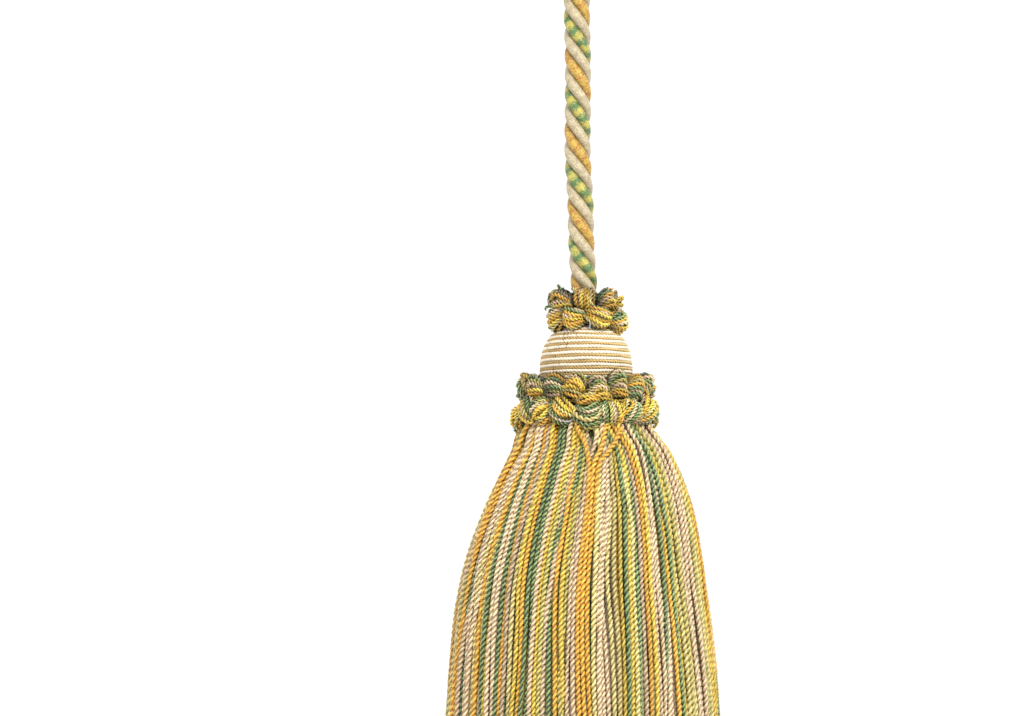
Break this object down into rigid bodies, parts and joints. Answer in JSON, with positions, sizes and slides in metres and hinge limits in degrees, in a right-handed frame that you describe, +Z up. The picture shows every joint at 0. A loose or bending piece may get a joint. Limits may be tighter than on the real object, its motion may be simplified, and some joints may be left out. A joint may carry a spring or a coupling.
{
  "type": "key tassel on a twisted cord",
  "caption": "Hanging key tassel: bell-shaped yarn skirt under a wound dome head with two plaited ruffs, on a twisted cord with a hanging loop.",
  "frame": {"origin": "inner top of the cord's hanging loop, where a hook or peg bears", "axes": "+Z up along the hanging tassel, -Y its front, +X to the right seen from the front; the loop lies in the XZ plane"},
  "size_m": [0.0934, 0.0934, 0.3423],
  "materials": {
    "rope": "four plies of thread-wound cord: gold, cream, green and cream, with a soft silky sheen",
    "binding_thread": "fine cream-gold thread wound turn beside turn",
    "ruff_yarn": "bundles of two-ply silky yarn in green, olive, yellow, orange and beige",
    "head_winding": "smooth cream cord and tan-gold twist wound in turn",
    "skirt_yarn": "two-ply silky yarns in green, olive, yellow, orange and beige"
  },
  "bodies": {
    "root": {"cord": "rope", "loop_binding": "binding_thread", "upper_ruff": "ruff_yarn", "head": "head_winding", "lower_ruff": "ruff_yarn", "skirt": "skirt_yarn"}
  },
  "joints": []
}
